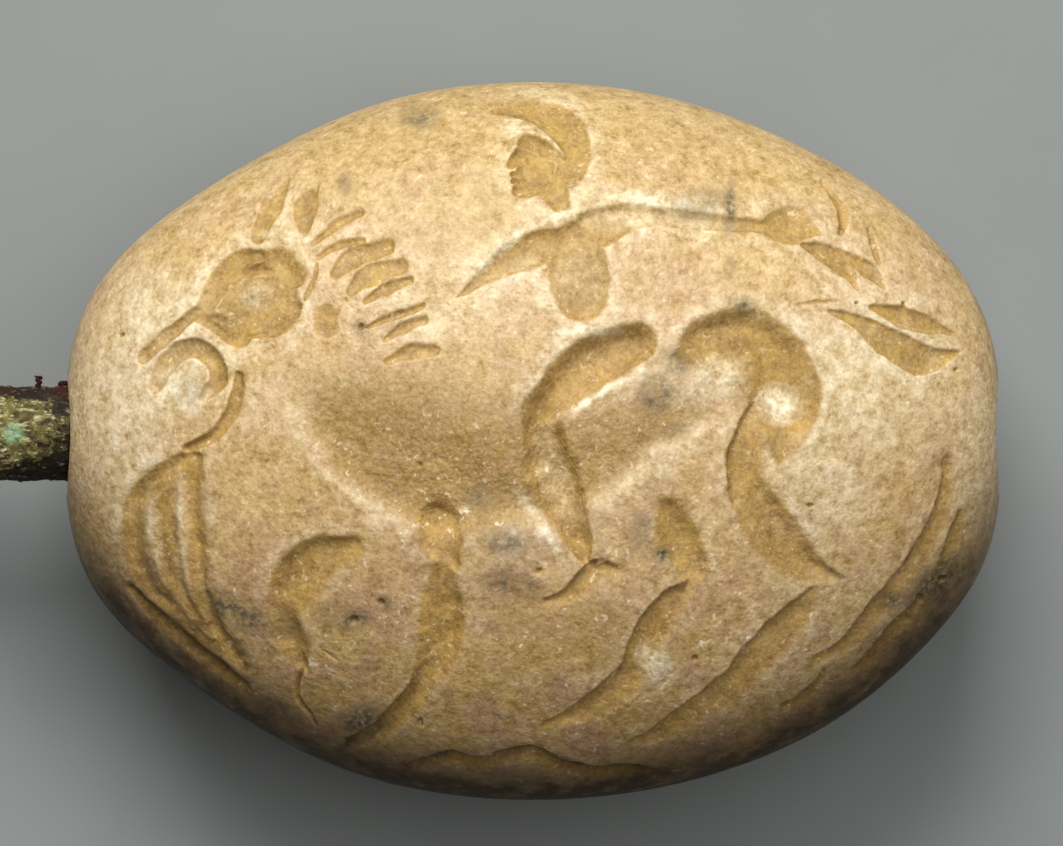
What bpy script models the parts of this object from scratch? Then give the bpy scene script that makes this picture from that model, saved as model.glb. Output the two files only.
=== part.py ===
# Intaglio seal: a biconvex stone pierced lengthwise, with a horse and its rider cut into the
# upper face, and the corroded bronze pin that is stuck in the bore.
# Metres, +Z out of the carved face, +X along the bore, origin in the middle of the rest spot.

import math

import bpy
import bmesh
from mathutils import Vector

# The stone
STONE_LENGTH = 0.0260       # between the two ground ends
STONE_WIDTH = 0.0199
CROWN_RISE = 0.0060         # carved face above the girth
BELLY_DROP = 0.0055         # rounded underside below the girth
WORN_OFF = 0.00035          # height worn off the underside at its flat rest spot

# The bore and the pin in it
PIN_DIAMETER = 0.0026
BORE_CLEARANCE = 0.0003     # all round the pin
BORE_OFFSET = 0.0002        # the bore runs nearer the back edge than the middle
PIN_OUT = 0.0045            # length of pin outside the left end
PIN_SHORT = 0.0010          # the pin is broken off this far inside the right end

# Depths of the cutting
DEEPEST = 0.0012            # haunch and the rider's thigh
BODY_DEPTH = 0.0009         # head, torso, limbs
LOCK_DEPTH = 0.00055        # mane, tassel, tail, cloth
LINE_DEPTH = 0.0004         # hooves, fingers, ground line
HOLLOW_DEPTH = 0.0006       # broad hollows of the horse's barrel

# Form of the stone, as shares of its half length or half width
TIP_SHARE = 1.035           # where the plan's ellipse would end, past the ground ends
CROWN_POWER = 2.1           # 2 is an ellipse, more is fuller
SOFTNESS = 30.0             # higher is a sharper meeting of ellipse and rubbed flanks
FLANKS = ((65.0, 0.846), (120.0, 0.831), (236.0, 0.854), (316.0, 0.942))  # bearing, reach

# Fineness of the solids
GIRTH_SIDES = 72
CROWN_RINGS = 13
BELLY_RINGS = 8
BORE_SIDES = 24
GOUGE_SIDES = 8
GOUGE_STEP = 2.6            # spacing of a gouge's rings, in carving units
BOWL_SIDES = 14
BOWL_ROWS = 7
TIP_ROUNDING = 0.6          # how far a gouge's rounded end reaches, in half widths
END_DEPTH = 0.35            # least share of a gouge's depth, where it is narrow

# The carving is laid out in hundredths of the stone's length along it and, across it, in
# parts that keep the same proportions when the width alone is changed.
ALONG = STONE_LENGTH / 100
ACROSS = STONE_WIDTH / 76.5

HALF_LENGTH = STONE_LENGTH / 2
HALF_WIDTH = STONE_WIDTH / 2
BORE_DIAMETER = PIN_DIAMETER + 2 * BORE_CLEARANCE
REST_DEPTH = BELLY_DROP - WORN_OFF          # rest spot below the girth


def soften(values):
    return sum(value ** SOFTNESS for value in values) ** (1 / SOFTNESS)


END_REACH = HALF_LENGTH / (1 - (1 / TIP_SHARE) ** SOFTNESS) ** (1 / SOFTNESS)


def stone_norm(x, y, z):
    """1 on the stone's skin, less inside, more outside."""
    plan = math.hypot(x / (HALF_LENGTH * TIP_SHARE), y / HALF_WIDTH)
    height = abs(z) / (CROWN_RISE if z > 0 else BELLY_DROP)
    parts = [(plan ** CROWN_POWER + height ** CROWN_POWER) ** (1 / CROWN_POWER)]
    parts.append(abs(x) / END_REACH)
    for bearing, reach in FLANKS:
        turn = math.radians(bearing)
        parts.append(max(0.0, x * math.cos(turn) + y * math.sin(turn)) / (reach * HALF_LENGTH))
    return soften(parts)


def skin_point(turn, tilt):
    """Point of the skin at a turn about Z and a tilt above the girth, seen from the middle."""
    aim = Vector((HALF_LENGTH * math.cos(turn) * math.cos(tilt),
                  HALF_WIDTH * math.sin(turn) * math.cos(tilt),
                  (CROWN_RISE if tilt > 0 else BELLY_DROP) * math.sin(tilt)))
    return aim / stone_norm(*aim)


def halve(low, high, too_high, rounds=40):
    for _ in range(rounds):
        middle = (low + high) / 2
        if too_high(middle):
            high = middle
        else:
            low = middle
    return low


def rest_tilt(turn):
    return halve(-math.pi / 2, 0.0, lambda tilt: skin_point(turn, tilt).z > -REST_DEPTH)


def new_object(name, bm, material=None):
    mesh = bpy.data.meshes.new(name)
    bm.to_mesh(mesh)
    bm.free()
    obj = bpy.data.objects.new(name, mesh)
    bpy.context.scene.collection.objects.link(obj)
    if material:
        mesh.materials.append(material)
    return obj


def bridge(bm, lower, upper):
    count = len(lower)
    for i in range(count):
        j = (i + 1) % count
        bm.faces.new((lower[i], lower[j], upper[j], upper[i]))


def fan(bm, ring, tip):
    for i in range(len(ring)):
        bm.faces.new((ring[i], ring[(i + 1) % len(ring)], tip))


def stone_body(material):
    bm = bmesh.new()
    lift = Vector((0, 0, REST_DEPTH))
    turns = [math.tau * i / GIRTH_SIDES for i in range(GIRTH_SIDES)]
    rims = [rest_tilt(turn) for turn in turns]
    rings = []
    for row in range(-BELLY_RINGS, CROWN_RINGS):
        ring = []
        for turn, rim in zip(turns, rims):
            tilt = row / CROWN_RINGS * math.pi / 2 if row > 0 else -row / BELLY_RINGS * rim
            point = skin_point(turn, tilt)
            if row == -BELLY_RINGS:
                point.z = -REST_DEPTH
            ring.append(bm.verts.new(point + lift))
        rings.append(ring)
    for lower, upper in zip(rings, rings[1:]):
        bridge(bm, lower, upper)
    fan(bm, rings[-1], bm.verts.new(Vector((0, 0, CROWN_RISE)) + lift))
    bm.faces.new(reversed(rings[0]))
    return new_object("seal_stone", bm, material)


def face_frame(x, y):
    """Point of the carved face at carving place x, y, with the outward normal there."""
    px, py = x * ALONG, y * ACROSS
    pz = halve(0.0, CROWN_RISE, lambda z: stone_norm(px, py, z) > 1)
    step = STONE_LENGTH / 2000
    normal = Vector((stone_norm(px + step, py, pz) - stone_norm(px - step, py, pz),
                     stone_norm(px, py + step, pz) - stone_norm(px, py - step, pz),
                     stone_norm(px, py, pz + step) - stone_norm(px, py, max(0.0, pz - step))))
    return Vector((px, py, pz + REST_DEPTH)), normal.normalized()


def cutter(name, bm):
    bmesh.ops.recalc_face_normals(bm, faces=bm.faces)
    obj = new_object("cut_" + name, bm)
    obj.hide_render = True
    obj.display_type = "WIRE"
    return obj


def gouge(name, start, end, bend, widths, depth):
    """Cut of a round wheel along an arc. bend is how far the arc bulges to the left of its
    travel, widths are half widths at its start, middle and end."""
    sx, sy = start
    ex, ey = end
    length = math.hypot(ex - sx, ey - sy)
    side_x, side_y = (sy - ey) / length, (ex - sx) / length
    count = max(4, round(length / GOUGE_STEP) + 2)
    bm = bmesh.new()
    rings = []
    tips = []
    for i in range(-1, count + 1):
        t = min(1.0, max(0.0, i / (count - 1)))
        bulge = 4 * t * (1 - t) * bend
        x = sx + (ex - sx) * t + side_x * bulge
        y = sy + (ey - sy) * t + side_y * bulge
        base, normal = face_frame(x, y)
        slope = 4 * (1 - 2 * t) * bend / length
        along = Vector(((ex - sx) / length + side_x * slope, (ey - sy) / length + side_y * slope, 0))
        along = (along - normal * along.dot(normal)).normalized()
        across = normal.cross(along)
        half = ((1 - t) * (1 - 2 * t) * widths[0] + 4 * t * (1 - t) * widths[1]
                + t * (2 * t - 1) * widths[2]) * ALONG
        deep = depth * min(1.0, END_DEPTH + half / (max(widths) * ALONG))
        if i in (-1, count):
            tips.append(bm.verts.new(base + along * half * TIP_ROUNDING * (-1 if i < 0 else 1)))
            continue
        rings.append([bm.verts.new(base + across * half * math.cos(turn) + normal * deep * math.sin(turn))
                      for turn in (math.tau * k / GOUGE_SIDES for k in range(GOUGE_SIDES))])
    for first, second in zip(rings, rings[1:]):
        bridge(bm, first, second)
    fan(bm, list(reversed(rings[0])), tips[0])
    fan(bm, rings[-1], tips[1])
    return cutter(name, bm)


def bowl(name, centre, radii, turn, depth, shallow_rim=False):
    """Cut of a ball-ended drill, longer one way than the other. With a shallow rim it is the
    broad dish of a larger wheel."""
    base, normal = face_frame(*centre)
    bearing = math.radians(turn)
    along = Vector((math.cos(bearing), math.sin(bearing), 0))
    along = (along - normal * along.dot(normal)).normalized()
    across = normal.cross(along)
    bm = bmesh.new()
    bmesh.ops.create_uvsphere(bm, u_segments=BOWL_SIDES, v_segments=BOWL_ROWS, radius=1.0)
    # A wide cut lies along the curved face, so its middle is raised by what the face falls away.
    for vert in bm.verts:
        u, v, w = vert.co
        place = along * (u * radii[0] * ALONG) + across * (v * radii[1] * ACROSS)
        under = base + place
        over, _ = face_frame(under.x / ALONG, under.y / ACROSS)
        vert.co = over + normal * (w * depth * (abs(w) if shallow_rim else 1))
    return cutter(name, bm)


def horse_head():
    return [
        bowl("brow", (-33.0, 17.2), (4.6, 2.1), 42, BODY_DEPTH),
        bowl("cheek", (-28.3, 14.8), (4.4, 4.9), 40, BODY_DEPTH),
        gouge("face", (-36.8, 13.6), (-30.5, 12.4), 0, (1.0, 1.9, 1.6), BODY_DEPTH),
        gouge("muzzle", (-36.2, 13.6), (-41.4, 9.0), 0, (1.0, 0.9, 0.9), LOCK_DEPTH),
        gouge("chin", (-39.6, 6.0), (-35.2, 10.1), 0.7, (0.8, 1.1, 0.8), LOCK_DEPTH),
        gouge("jaw", (-35.9, 9.9), (-35.2, 4.8), 2.6, (0.8, 1.1, 0.7), LOCK_DEPTH),
        gouge("ear_near", (-25.8, 27.8), (-29.3, 21.6), 0.2, (0.3, 1.1, 0.8), LOCK_DEPTH),
        gouge("ear_far", (-22.5, 27.0), (-24.5, 22.4), -0.7, (0.3, 1.3, 0.4), LOCK_DEPTH),
        gouge("throat", (-31.3, 6.4), (-36.2, -0.8), 1.6, (0.8, 0.7, 0.4), LINE_DEPTH),
        gouge("nape", (-22.8, 18.8), (-24.1, 15.0), -0.3, (0.3, 0.5, 0.4), LINE_DEPTH),
        gouge("gullet", (-21.6, 14.8), (-21.4, 10.9), 0, (1.1, 1.3, 0.5), LINE_DEPTH)]


MANE_LOCKS = (              # root, tip, bend, half width
    ((-22.8, 21.1), (-18.3, 23.9), 0.3, 0.55), ((-22.5, 19.7), (-16.8, 21.5), 0.5, 0.6),
    ((-20.6, 17.9), (-15.2, 20.5), 0.7, 1.0), ((-18.7, 15.8), (-13.6, 18.2), 1.1, 1.05),
    ((-17.1, 15.0), (-12.7, 17.0), 0.4, 0.7), ((-16.4, 12.5), (-11.4, 14.3), 0.2, 0.5),
    ((-14.8, 11.4), (-11.4, 13.0), 0.2, 0.65), ((-14.6, 8.9), (-10.2, 9.9), 0.3, 0.8))


def mane():
    return [gouge("lock_%d" % i, root, tip, bend, (half * 0.5, half, half * 0.6), LOCK_DEPTH)
            for i, (root, tip, bend, half) in enumerate(MANE_LOCKS)]


def tassel():
    """Strands that hang from the breast and sweep back under the belly."""
    strands = (
        ((-36.2, -1.8), (-41.4, -15.3), -3.4, 0.8), ((-38.2, -5.2), (-39.4, -12.6), 0.2, 0.6),
        ((-35.6, -2.6), (-35.4, -15.0), -0.4, 0.7), ((-41.2, -15.8), (-28.2, -26.9), -0.6, 0.55),
        ((-36.8, -19.2), (-32.6, -23.8), -0.2, 0.5))
    return [gouge("strand_%d" % i, top, tip, bend, (half * 0.6, half, half * 0.5), LOCK_DEPTH)
            for i, (top, tip, bend, half) in enumerate(strands)]


def horse_body():
    return [
        bowl("breast", (-15.0, 2.2), (10.0, 8.2), -30, HOLLOW_DEPTH, True),
        bowl("barrel", (-6.0, -0.8), (10.0, 9.0), -30, HOLLOW_DEPTH, True),
        bowl("flank", (11.5, 3.6), (11.0, 6.4), 25, HOLLOW_DEPTH, True),
        gouge("haunch", (16.2, 9.6), (28.0, 1.2), 5.2, (2.6, 3.7, 2.6), DEEPEST),
        bowl("croup", (21.5, 6.0), (7.0, 6.5), 0, BODY_DEPTH, True)]


def legs():
    return [
        bowl("near_elbow", (-9.7, -9.7), (2.9, 4.0), 8, BODY_DEPTH),
        gouge("near_fore", (-8.6, -14.0), (-12.0, -25.0), 0.9, (1.3, 1.8, 1.0), BODY_DEPTH),
        gouge("near_hoof", (-12.2, -25.2), (-20.0, -31.9), -0.5, (0.6, 0.6, 0.4), LINE_DEPTH),
        gouge("far_knee", (-20.2, -10.6), (-27.6, -16.4), -1.6, (1.1, 1.5, 1.2), BODY_DEPTH),
        gouge("far_fore", (-27.7, -16.0), (-24.3, -23.2), 0.4, (1.1, 1.1, 0.7), BODY_DEPTH),
        gouge("far_hoof", (-24.2, -24.0), (-23.0, -29.0), -0.9, (0.4, 0.5, 0.3), LINE_DEPTH),
        gouge("near_stifle", (22.9, 1.8), (30.8, -13.4), -1.6, (2.6, 2.6, 0.9), BODY_DEPTH),
        gouge("near_hock", (29.8, -14.8), (11.2, -31.4), 1.0, (0.9, 1.2, 0.6), LOCK_DEPTH),
        gouge("far_stifle", (15.0, -7.6), (16.5, -13.6), 0, (1.8, 2.3, 1.2), BODY_DEPTH),
        gouge("far_hock", (16.0, -15.6), (1.2, -29.8), 0.8, (1.2, 1.3, 0.6), LOCK_DEPTH)]


def tail():
    hairs = (
        ((43.4, -2.2), (30.8, -22.3), 2.6, 0.8), ((44.7, -8.6), (43.2, -12.6), 0.2, 0.6),
        ((41.4, -15.9), (34.9, -23.6), 0.4, 0.55), ((32.8, -22.0), (26.2, -27.7), 0.3, 0.55))
    return [gouge("tail_%d" % i, top, tip, bend, (half * 0.5, half, half * 0.5), LOCK_DEPTH)
            for i, (top, tip, bend, half) in enumerate(hairs)]


def rider():
    """The rider looks ahead to the left and stretches an arm back. The head is a plain one:
    a round skull, a short straight nose, a chin and the rolls of a cap."""
    return [
        bowl("skull", (1.9, 31.2), (4.0, 4.4), 0, BODY_DEPTH),
        bowl("face", (-1.0, 29.6), (2.5, 2.8), 0, BODY_DEPTH),
        gouge("nose", (-2.4, 30.3), (-4.0, 29.0), 0, (0.6, 0.6, 0.4), LINE_DEPTH),
        gouge("cap", (-3.9, 34.9), (5.0, 33.6), 0.6, (0.6, 0.9, 0.7), LOCK_DEPTH),
        gouge("neck", (2.3, 27.6), (2.9, 24.9), 0, (1.9, 1.7, 1.5), LOCK_DEPTH),
        bowl("chest", (4.9, 19.4), (4.1, 3.6), 0, BODY_DEPTH),
        gouge("waist", (4.6, 19.0), (5.4, 12.9), 0, (3.4, 3.5, 2.4), BODY_DEPTH),
        gouge("front_arm", (1.4, 20.6), (-7.2, 15.3), -0.9, (1.8, 1.5, 0.3), LOCK_DEPTH),
        gouge("back_arm", (6.5, 22.9), (25.4, 22.4), 1.4, (1.6, 1.1, 0.7), LOCK_DEPTH),
        bowl("hand", (26.6, 22.9), (2.2, 2.1), 0, LOCK_DEPTH),
        gouge("thumb", (27.4, 22.8), (29.8, 22.2), 0, (1.2, 0.8, 0.3), LINE_DEPTH),
        gouge("thigh", (9.6, 10.6), (0.6, 3.6), 0, (3.0, 3.2, 1.9), DEEPEST),
        gouge("shin", (0.6, 1.6), (5.7, -11.4), 0.3, (2.0, 2.7, 1.1), BODY_DEPTH),
        gouge("foot", (7.8, -13.0), (0.2, -16.4), 0.2, (0.8, 0.9, 0.5), LINE_DEPTH)]


def held_cloth():
    """Short cords and the two leaves of cloth that stream from the rider's hand."""
    return [
        gouge("cord_0", (28.8, 20.5), (34.1, 16.8), 0.6, (0.6, 1.1, 0.6), LINE_DEPTH),
        gouge("cord_1", (33.7, 19.2), (37.1, 15.9), 0.2, (0.6, 0.8, 0.3), LINE_DEPTH),
        gouge("cord_2", (30.2, 27.7), (33.0, 25.0), 0.2, (0.4, 0.6, 0.5), LINE_DEPTH),
        gouge("cord_3", (35.4, 22.5), (36.5, 19.2), 0.2, (0.4, 0.55, 0.4), LINE_DEPTH),
        gouge("cord_4", (27.0, 14.1), (31.6, 14.8), 0.2, (0.3, 0.5, 0.4), LINE_DEPTH),
        gouge("leaf_0", (30.8, 14.0), (44.0, 8.6), -1.7, (0.6, 1.6, 1.0), LOCK_DEPTH),
        gouge("leaf_1", (36.9, 12.8), (43.9, 11.4), 0, (0.9, 1.1, 0.4), LOCK_DEPTH)]


def ground_line():
    swells = ((-13.2, -34.0), (-5.5, -34.1), (2.8, -34.1), (12.6, -34.7))
    return [gouge("ground_%d" % i, left, right, 0.7, (0.6, 0.8, 0.6), LINE_DEPTH)
            for i, (left, right) in enumerate(zip(swells, swells[1:]))]


def carve(stone, cutters):
    group = bpy.data.collections.new("cutters")
    bpy.context.scene.collection.children.link(group)
    for obj in cutters:
        bpy.context.scene.collection.objects.unlink(obj)
        group.objects.link(obj)
    cut = stone.modifiers.new("carving", "BOOLEAN")
    cut.operation = "DIFFERENCE"
    cut.operand_type = "COLLECTION"
    cut.collection = group
    cut.solver = "EXACT"


def turned(bm, stations, sides, centre):
    """Closed round form along X from (x, radius) stations."""
    rings = []
    for x, radius in stations:
        rings.append([bm.verts.new((x, centre[0] + radius * math.cos(math.tau * k / sides),
                                    centre[1] + radius * math.sin(math.tau * k / sides)))
                      for k in range(sides)])
    for first, second in zip(rings, rings[1:]):
        bridge(bm, first, second)
    bm.faces.new(reversed(rings[0]))
    bm.faces.new(rings[-1])


def bore():
    bm = bmesh.new()
    reach = STONE_LENGTH
    turned(bm, ((-reach, BORE_DIAMETER / 2), (reach, BORE_DIAMETER / 2)), BORE_SIDES,
           (BORE_OFFSET, REST_DEPTH))
    return cutter("bore", bm)


def pin(material):
    """The corroded rod, a little swollen where it is out of the stone, with a broken end."""
    bm = bmesh.new()
    radius = PIN_DIAMETER / 2
    mouth = -HALF_LENGTH
    outer = mouth - PIN_OUT
    stations = (
        (outer, radius * 0.80), (outer + PIN_OUT * 0.04, radius * 0.93),
        (outer + PIN_OUT * 0.30, radius * 1.00), (outer + PIN_OUT * 0.60, radius * 1.02),
        (mouth - BORE_CLEARANCE, radius * 0.97), (mouth + BORE_CLEARANCE, radius * 0.95),
        (HALF_LENGTH - PIN_SHORT - radius * 0.2, radius * 0.95),
        (HALF_LENGTH - PIN_SHORT, radius * 0.80))
    turned(bm, stations, BORE_SIDES, (BORE_OFFSET, REST_DEPTH))
    bmesh.ops.recalc_face_normals(bm, faces=bm.faces)
    obj = new_object("bronze_pin", bm, material)
    obj.data.shade_smooth()
    return obj


def make_material(name, colour, roughness, metallic):
    material = bpy.data.materials.new(name)
    material.use_nodes = True
    shader = material.node_tree.nodes["Principled BSDF"]
    shader.inputs["Base Color"].default_value = (*colour, 1)
    shader.inputs["Roughness"].default_value = roughness
    shader.inputs["Metallic"].default_value = metallic
    return material


def main():
    for obj in list(bpy.data.objects):
        bpy.data.objects.remove(obj)
    stone = stone_body(make_material("stone", (0.66, 0.52, 0.34), 0.5, 0.0))
    parts = [bore()] + horse_head() + mane() + tassel() + horse_body() + legs() + tail()
    parts += rider() + held_cloth() + ground_line()
    carve(stone, parts)
    pin(make_material("bronze", (0.20, 0.19, 0.09), 0.7, 0.3))


main()
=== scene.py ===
# Looks of the intaglio seal: the cut and worn stone, and the corroded pin in its bore
import math
import bmesh
import bpy
import numpy as np
from mathutils import Euler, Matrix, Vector


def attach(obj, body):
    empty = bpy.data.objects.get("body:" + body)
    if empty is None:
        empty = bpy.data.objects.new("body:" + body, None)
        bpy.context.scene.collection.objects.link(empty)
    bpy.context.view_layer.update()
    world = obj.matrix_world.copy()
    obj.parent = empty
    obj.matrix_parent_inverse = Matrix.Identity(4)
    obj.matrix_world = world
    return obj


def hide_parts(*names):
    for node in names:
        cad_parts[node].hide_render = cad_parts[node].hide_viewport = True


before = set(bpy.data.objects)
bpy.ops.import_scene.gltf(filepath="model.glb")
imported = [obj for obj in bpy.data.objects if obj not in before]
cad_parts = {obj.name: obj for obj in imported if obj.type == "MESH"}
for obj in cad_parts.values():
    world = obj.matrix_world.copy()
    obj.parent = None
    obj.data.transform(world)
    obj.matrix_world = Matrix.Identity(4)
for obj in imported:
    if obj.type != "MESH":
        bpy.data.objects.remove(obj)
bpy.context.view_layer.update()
scene = bpy.context.scene
print("frame loaded:", sorted(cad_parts))

# The stone's form, in metres. Turning angles are in degrees, from +X
stone = {
    "length": 0.0260, "width": 0.0199, "crownRise": 0.0060, "bellyDrop": 0.0055,
    "restDepth": 0.00515, "tipShare": 1.035, "crownPower": 2.1, "softness": 30.0,
    "flanks": ((65.0, 0.846), (120.0, 0.831), (236.0, 0.854), (316.0, 0.942)),
    "boreDiameter": 0.0032, "boreOffset": 0.0002, "boreSides": 64,
    "mouthFlare": 0.00012, "drillOverrun": 0.002,
    "gridCells": 136,        # across the carved face; the underside has half as many
    "gridBow": 0.90,         # higher puts more of the grid near the girth
    "undulation": 0.00005, "undulationSize": 0.0060,
    "chatterHeight": 0.000022, "chatterSize": 0.00045,    # rough floors of the cuts
    "grainHeight": 0.000014, "grainSize": 0.00022,
    "creaseAngle": 70,       # edges sharper than this aren't shaded smooth
    "slopeSteps": 4000,      # steps along the length by which the skin's slope is felt
    "seed": 11,
}
halfLength = stone["length"] / 2
halfWidth = stone["width"] / 2
along = stone["length"] / 100        # one carving unit along the stone
across = stone["width"] / 76.5       # and across it
millimetre = 0.001
shareNear = (1 - (1 / stone["tipShare"]) ** stone["softness"]) ** (1 / stone["softness"])
endReach = halfLength / shareNear


def stoneNorm(p):
    # 1 on the skin of the uncarved stone, for an array of places counted from its middle
    x, y, z = p[:, 0], p[:, 1], p[:, 2]
    plan = np.hypot(x / (halfLength * stone["tipShare"]), y / halfWidth)
    height = np.abs(z) / np.where(z > 0, stone["crownRise"], stone["bellyDrop"])
    power, soft = stone["crownPower"], stone["softness"]
    total = (plan ** power + height ** power) ** (soft / power)
    total += (np.abs(x) / endReach) ** soft
    for bearing, reach in stone["flanks"]:
        turn = math.radians(bearing)
        push = np.maximum(0, x * math.cos(turn) + y * math.sin(turn)) / (reach * halfLength)
        total += push ** soft
    return total ** (1 / soft)


def stoneNormals(p):
    step = stone["length"] / stone["slopeSteps"]
    n = np.stack([stoneNorm(p + shift) - stoneNorm(p - shift) for shift in np.eye(3) * step], 1)
    return n / np.linalg.norm(n, axis=1)[:, None]


noiseTurn = np.array(Euler((0.5, 0.7, 0.9)).to_matrix())    # keeps lumps off the axes
noiseShift = 57.3
noiseCells = 32


def lumps(p, size, seed):
    # smooth noise from -1 to 1, with bumps of the given size
    values = np.random.default_rng(seed).random((noiseCells,) * 3) * 2 - 1
    q = p @ noiseTurn / size + noiseShift
    cell = np.floor(q).astype(int)
    f = q - cell
    f = f * f * (3 - 2 * f)
    total = np.zeros(len(p))
    for corner in range(8):
        bits = np.array([corner & 1, corner >> 1 & 1, corner >> 2 & 1])
        weight = np.prod(np.where(bits, f, 1 - f), axis=1)
        i, j, k = ((cell + bits) % noiseCells).T
        total += weight * values[i, j, k]
    return total


def discGrid(cells):
    # square grid bent to a disc, rings staying rings
    line = np.linspace(-1, 1, cells + 1)
    u, v = np.meshgrid(line, line, indexing="ij")
    r = np.maximum(np.abs(u), np.abs(v))
    wide = np.abs(u) >= np.abs(v)
    safeU = np.where(u == 0, 1, u)
    safeV = np.where(v == 0, 1, v)
    turn = np.where(wide, v / safeU * math.pi / 4, math.pi / 2 - u / safeV * math.pi / 4)
    sign = np.where(wide, np.sign(u), np.sign(v))
    return r * sign * np.cos(turn), r * sign * np.sin(turn)


def skin(cells, upward):
    dx, dy = discGrid(cells)
    r = np.hypot(dx, dy)
    bow = stone["gridBow"]
    plan = np.sin(np.minimum(r, 1) * bow) / math.sin(bow)
    scale = np.where(r > 0, plan / np.maximum(r, 1e-9), 0)
    rise = stone["crownRise"] if upward else -stone["bellyDrop"]
    aim = np.stack([dx * scale * halfLength, dy * scale * halfWidth,
                    np.sqrt(np.maximum(0, 1 - plan ** 2)) * rise], -1).reshape(-1, 3)
    return aim / stoneNorm(aim)[:, None]


# Carving. Points are places and half widths in carving units, hundredths of the stone's length,
# from the middle of the face; depths are in millimetres. lean moves the deepest line to the left
# of a stroke's travel, and floor above 2 makes its bottom flatter and its sides steeper. soft is 1
# where the left side fades into the face, -1 where the right one does, and 2 for both
def stroke(points, depth, lean=0, floor=2, even=0.5, soft=0, lip=0.45, widths=None):
    return {"path": [p[:2] for p in points], "widths": widths or [p[2] for p in points],
            "depth": depth, "lean": lean, "floor": floor, "even": even, "soft": soft, "lip": lip}


def spot(place, radii, depth, turn=0, floor=2, soft=0, lip=0.45):
    # an oval cut, as a short stroke as wide as its smaller radius
    longer, shorter = max(radii), min(radii)
    bearing = math.radians(turn + (0 if radii[0] >= radii[1] else 90))
    reach = max(longer - shorter, 0.05)
    step = (reach * math.cos(bearing), reach * math.sin(bearing))
    points = [(place[0] + k * step[0], place[1] + k * step[1], shorter) for k in (-1, 1)]
    return stroke(points, depth, 0, floor, soft=soft, lip=lip)


def smoothPath(points, values, samples):
    # curve through the points, with the half widths spread evenly along it
    pts = np.array(points, float)
    if len(pts) == 2:
        t = np.linspace(0, 1, samples)[:, None]
        line = pts[0] * (1 - t) + pts[1] * t
    else:
        knots = np.vstack([2 * pts[0] - pts[1], pts, 2 * pts[-1] - pts[-2]])
        spans = len(pts) - 1
        line = []
        for s in np.linspace(0, spans, samples):
            i = min(int(s), spans - 1)
            t = s - i
            a, b, c, d = knots[i:i + 4]
            line.append(0.5 * (2 * b + (c - a) * t + (2 * a - 5 * b + 4 * c - d) * t * t
                               + (3 * b - a - 3 * c + d) * t ** 3))
        line = np.array(line)
    steps = np.linspace(0, len(values) - 1, samples)
    return line, np.interp(steps, np.arange(len(values)), values)


def strokeField(cut, x, y, margin):
    # for places near a stroke: their index, the gap to its nearest crisp edge in carving units,
    # negative inside, and its depth there in millimetres
    path, widths = cut["path"], cut["widths"]
    samples = 2 if len(path) == 2 and len(widths) == 2 else 6 * max(len(path), len(widths))
    line, half = smoothPath(path, widths, samples)
    reach = half.max()
    room = reach + margin
    near = np.flatnonzero((x > line[:, 0].min() - room) & (x < line[:, 0].max() + room)
                          & (y > line[:, 1].min() - room) & (y < line[:, 1].max() + room))
    px, py = x[near], y[near]
    best = np.full(len(px), 99.0)
    signed = np.zeros(len(px))
    width = np.ones(len(px))
    for (ax, ay), (bx, by), wa, wb in zip(line, line[1:], half, half[1:]):
        ex, ey = bx - ax, by - ay
        long = math.hypot(ex, ey)
        t = np.clip(((px - ax) * ex + (py - ay) * ey) / long ** 2, 0, 1)
        ox, oy = px - ax - ex * t, py - ay - ey * t
        w = wa + (wb - wa) * t
        u = np.hypot(ox, oy) / w
        closer = u < best
        best = np.where(closer, u, best)
        signed = np.where(closer, (ex * oy - ey * ox) / long / w, signed)
        width = np.where(closer, w, width)
    lean, soft = cut["lean"], cut["soft"]
    side = signed - lean
    shifted = np.abs(side) / np.where(side > 0, 1 - lean, 1 + lean)
    ends = np.sqrt(np.maximum(0, best ** 2 - signed ** 2))
    u = np.minimum(1, np.hypot(shifted, ends))
    fading = (side * soft > 0) | (soft == 2)
    wall = np.maximum((1 - abs(lean)) * width * 0.8, 0.05)
    lip = np.clip((1 - best) * width / np.minimum(cut["lip"], wall), 0, 1)
    worn = lip * lip * (3 - 2 * lip)
    profile = np.where(fading, (1 - u ** 2) ** 2, (1 - u ** cut["floor"]) * worn)
    depth = cut["depth"] * profile * (width / reach) ** cut["even"] * (best < 1)
    gap = np.where(fading, np.where(best < 1, -2.0, 9.0), (best - 1) * width)
    return near, gap, depth


carving = {
    "wobble": 0.16, "wobbleSize": 0.0007,      # unevenness of the edges, in units and metres
    "chipping": 0.11, "chipSize": 0.00024,
    "broadWobble": 0.8, "broadSize": 0.0017,   # and of the trunk's broad hollow
    "broadRough": 0.05, "broadFull": 0.3, "roughSize": 0.0007,
    "unevenFloor": 0.09, "floorSize": 0.0005,  # share by which the depth varies
    "joinPower": 5.0,        # higher keeps a sharper ridge where strokes meet
    "coarseMargin": 1.2,     # the mesh is finer this near a cut, and finest this near its edge
    "fineMargin": 0.55,
    "nookReach": 0.7,        # how far around a place its corner or lip is felt, in units
    "basinReach": 2.4, "ringPlaces": 8,
    "calmPlace": (-1.0, 29.5), "calmReach": 3.2, "calmShare": 0.8,    # cleaner edges of the face
    "proudest": 0.02,        # raised details stand this far above the skin at most
}

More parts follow.
